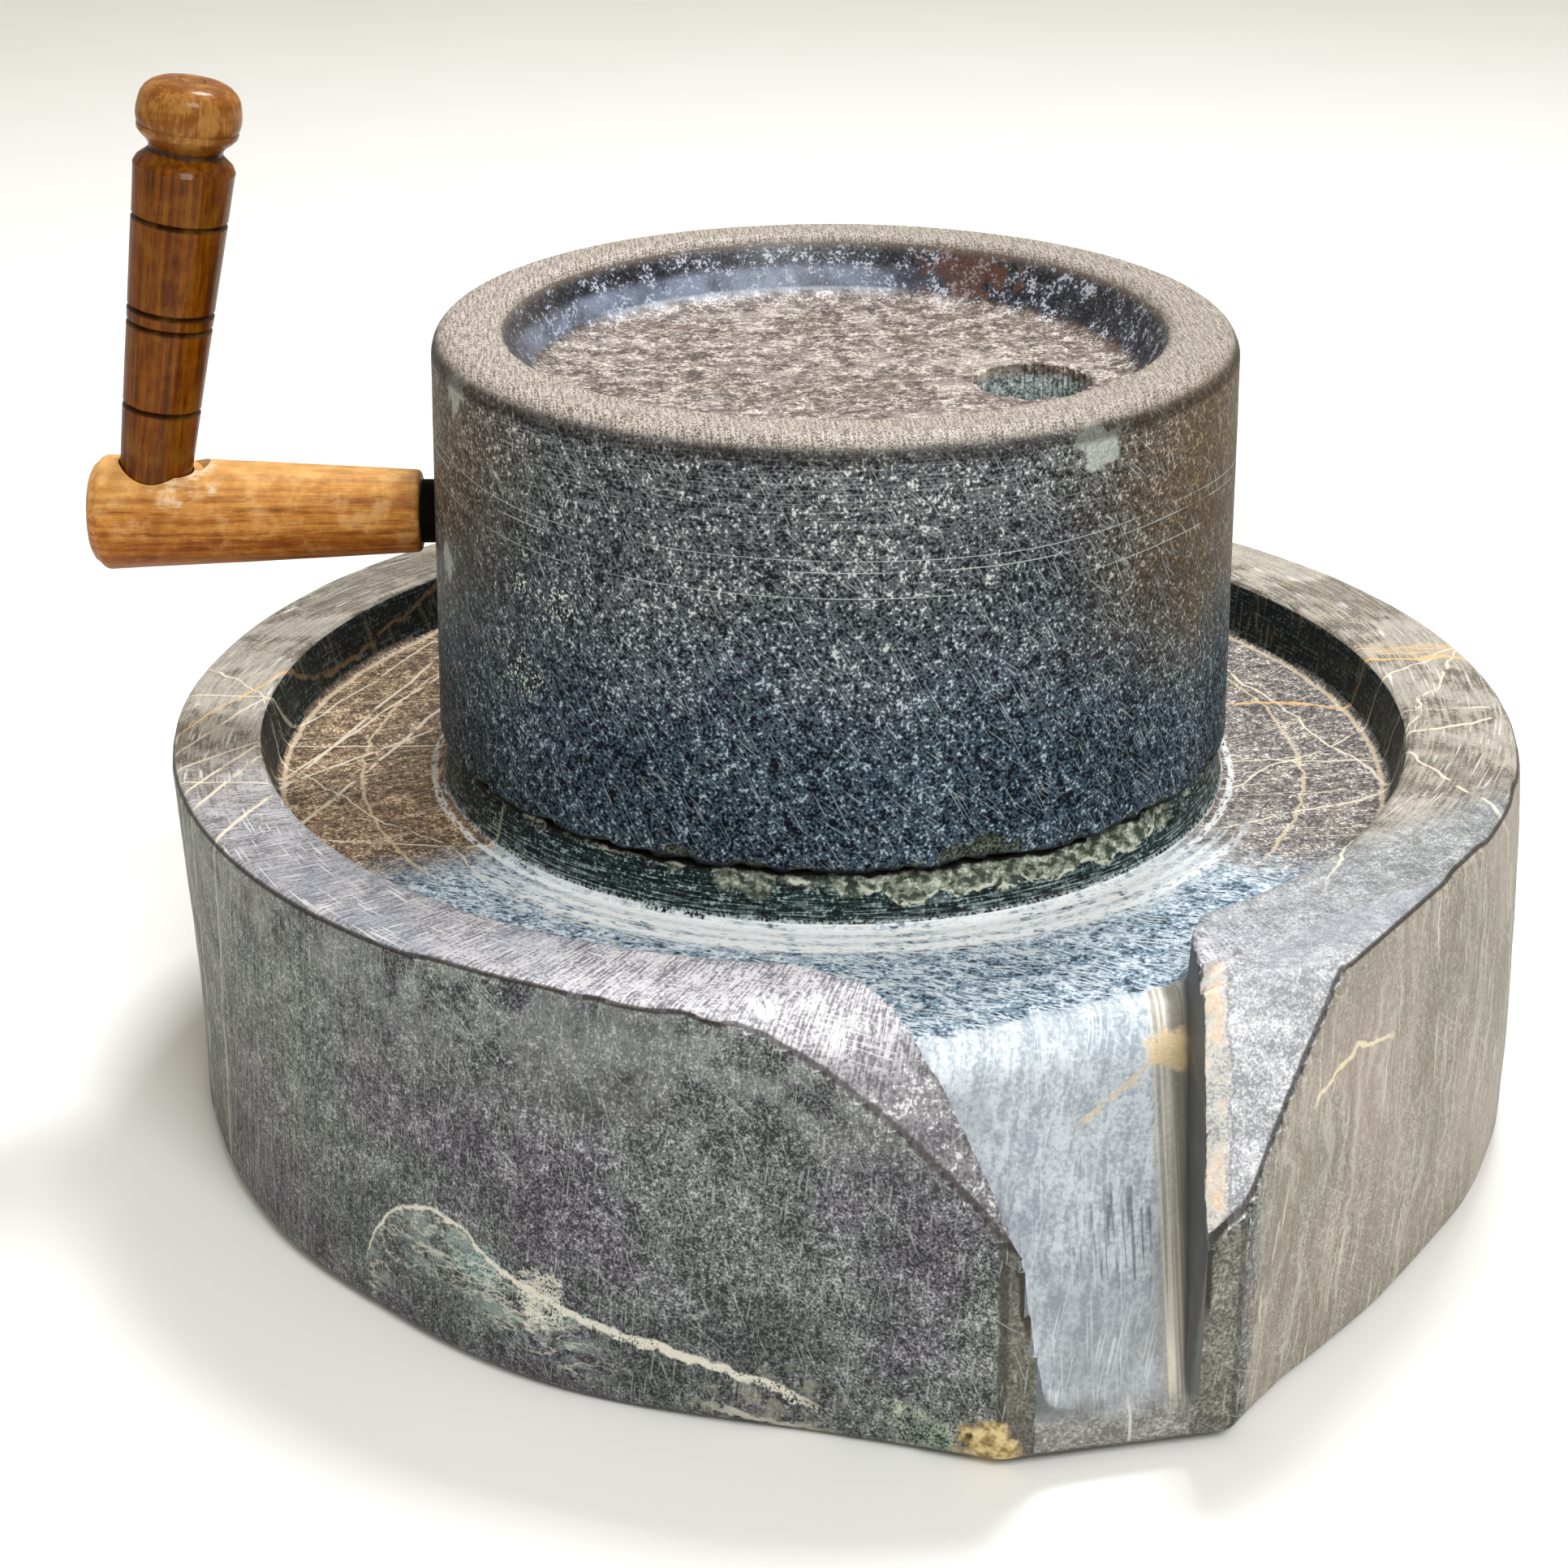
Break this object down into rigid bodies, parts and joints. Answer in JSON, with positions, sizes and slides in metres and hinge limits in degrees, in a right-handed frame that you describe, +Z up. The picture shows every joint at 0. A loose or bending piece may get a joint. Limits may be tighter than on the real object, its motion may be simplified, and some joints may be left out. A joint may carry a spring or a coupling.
{
  "type": "rotary quern",
  "caption": "Hand mill of carved dark stone: a spouted lower stone with a trough, and a turning runner with a hopper dish, feed hole and wooden crank.",
  "frame": {"origin": "the mill's axis on the plane that the lower stone's flat underside rests on", "axes": "+Z up along the runner's axis of rotation, -Y from the axis along the pouring spout, +X to the right when looking along +Y"},
  "size_m": [0.3575, 0.3715, 0.2599],
  "materials": {
    "lower_stone": "satin",
    "runner_stone": "satin",
    "black_shank": "matte",
    "arm_wood": "satin",
    "grip_wood": "gloss"
  },
  "bodies": {
    "base": {"lower_stone": "lower_stone"},
    "runner": {"runner_stone": "runner_stone", "arm_shank": "black_shank", "crank_arm": "arm_wood", "grip": "grip_wood"}
  },
  "joints": [
    {"name": "runner_spin", "type": "hinge", "parent": "base", "child": "runner", "pos_m": [0, 0, 0.0973], "axis": [0, 0, 1], "continuous": true}
  ]
}
